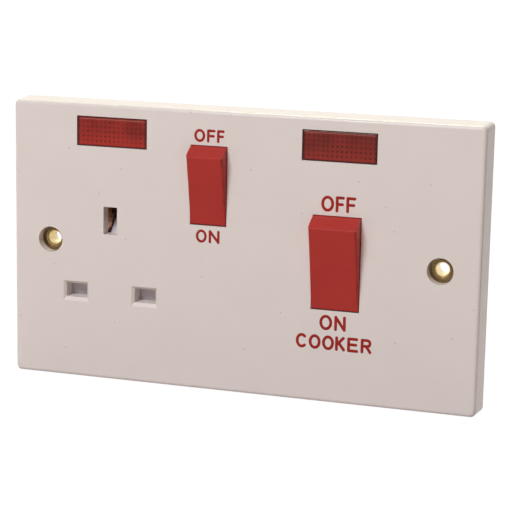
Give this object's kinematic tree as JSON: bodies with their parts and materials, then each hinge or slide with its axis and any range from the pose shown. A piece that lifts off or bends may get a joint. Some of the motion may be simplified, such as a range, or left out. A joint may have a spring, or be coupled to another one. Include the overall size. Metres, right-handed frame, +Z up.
{
  "type": "cooker control unit",
  "caption": "Cooker control unit: moulded wall plate with a shuttered mains socket, red rocker switches, red neon windows, brass fixing eyelets and rear screw terminals.",
  "frame": {"origin": "centre of the plate on the wall plane, midway between the fixing holes", "axes": "+X to the right as seen from the front, +Y into the wall, +Z up; the front face looks along -Y"},
  "size_m": [0.145, 0.0364, 0.0848],
  "materials": {
    "faceplate": "smooth moulded thermoset, slightly warm white",
    "base": "moulded, fine matt texture",
    "rocker_red": "satin moulded red",
    "lens_red": "clear red acrylic with a faceted inner face",
    "lamp_glass": "clear glass tube",
    "shutter": "moulded pale grey",
    "plunger": "natural moulded",
    "brass": "plain turned and drawn",
    "bronze": "stamped strip",
    "spring_steel": "wire",
    "plated_steel": "zinc plated"
  },
  "bodies": {
    "unit": {"faceplate": "faceplate", "rear_base": "base", "socket_neon_lens": "lens_red", "cooker_neon_lens": "lens_red", "socket_neon_lamp": "lamp_glass", "cooker_neon_lamp": "lamp_glass", "left_eyelet": "brass", "right_eyelet": "brass", "feed_neutral_terminal": "brass", "feed_live_terminal": "brass", "load_neutral_terminal": "brass", "load_live_terminal": "brass", "earth_terminal": "brass", "terminal_screws": "brass", "socket_switch_feed": "brass", "neutral_contact": "bronze", "live_contact": "bronze", "earth_contact": "bronze", "neutral_link": "bronze", "live_link": "bronze", "earth_strap": "bronze", "socket_switch_contact": "bronze", "shutter_spring": "spring_steel", "base_screws": "plated_steel"},
    "socket_rocker": {"socket_rocker": "rocker_red", "socket_plunger_spring": "spring_steel"},
    "cooker_rocker": {"cooker_rocker": "rocker_red", "cooker_live_plunger_spring": "spring_steel", "cooker_neutral_plunger_spring": "spring_steel"},
    "socket_plunger": {"socket_plunger": "plunger"},
    "cooker_live_plunger": {"cooker_live_plunger": "plunger"},
    "cooker_neutral_plunger": {"cooker_neutral_plunger": "plunger"},
    "socket_lever": {"socket_lever": "bronze"},
    "cooker_live_lever": {"cooker_live_lever": "bronze"},
    "cooker_neutral_lever": {"cooker_neutral_lever": "bronze"},
    "shutter": {"shutter": "shutter"}
  },
  "joints": [
    {"name": "socket_rocker_tilt", "type": "hinge", "parent": "unit", "child": "socket_rocker", "pos_m": [-0.00972, -0.005, 0.01983], "axis": [-1, 0, 0], "range_deg": [0, 23.6]},
    {"name": "cooker_rocker_tilt", "type": "hinge", "parent": "unit", "child": "cooker_rocker", "pos_m": [0.0296, -0.005, -0.00027], "axis": [-1, 0, 0], "range_deg": [0, 22.7]},
    {"name": "socket_plunger_slide", "type": "slide", "parent": "socket_rocker", "child": "socket_plunger", "axis": [0, -0.9789, -0.2045], "range_m": [0, 0.001], "stiffness_N_per_m": 300, "springref_m": -0.003, "deforming": ["socket_plunger_spring"]},
    {"name": "cooker_live_plunger_slide", "type": "slide", "parent": "cooker_rocker", "child": "cooker_live_plunger", "axis": [0, -0.9804, -0.1968], "range_m": [0, 0.001], "stiffness_N_per_m": 300, "springref_m": -0.003, "deforming": ["cooker_live_plunger_spring"]},
    {"name": "cooker_neutral_plunger_slide", "type": "slide", "parent": "cooker_rocker", "child": "cooker_neutral_plunger", "axis": [0, -0.9804, -0.1968], "range_m": [0, 0.001], "stiffness_N_per_m": 300, "springref_m": -0.003, "deforming": ["cooker_neutral_plunger_spring"]},
    {"name": "socket_lever_rock", "type": "hinge", "parent": "unit", "child": "socket_lever", "pos_m": [-0.00972, 0.01045, 0.01983], "axis": [1, 0, 0], "range_deg": [0, 22]},
    {"name": "cooker_live_lever_rock", "type": "hinge", "parent": "unit", "child": "cooker_live_lever", "pos_m": [0.0335, 0.01045, -0.00027], "axis": [1, 0, 0], "range_deg": [0, 22]},
    {"name": "cooker_neutral_lever_rock", "type": "hinge", "parent": "unit", "child": "cooker_neutral_lever", "pos_m": [0.0257, 0.01045, -0.00027], "axis": [1, 0, 0], "range_deg": [0, 22]},
    {"name": "shutter_slide", "type": "slide", "parent": "unit", "child": "shutter", "axis": [0, 0, -1], "range_m": [0, 0.0052], "stiffness_N_per_m": 80, "springref_m": -0.01, "deforming": ["shutter_spring"]}
  ],
  "couplings": [
    {"joint": "socket_lever_rock", "follows": "socket_rocker_tilt", "ratio": 0.9322},
    {"joint": "cooker_live_lever_rock", "follows": "cooker_rocker_tilt", "ratio": 0.96916},
    {"joint": "cooker_neutral_lever_rock", "follows": "cooker_rocker_tilt", "ratio": 0.96916}
  ]
}
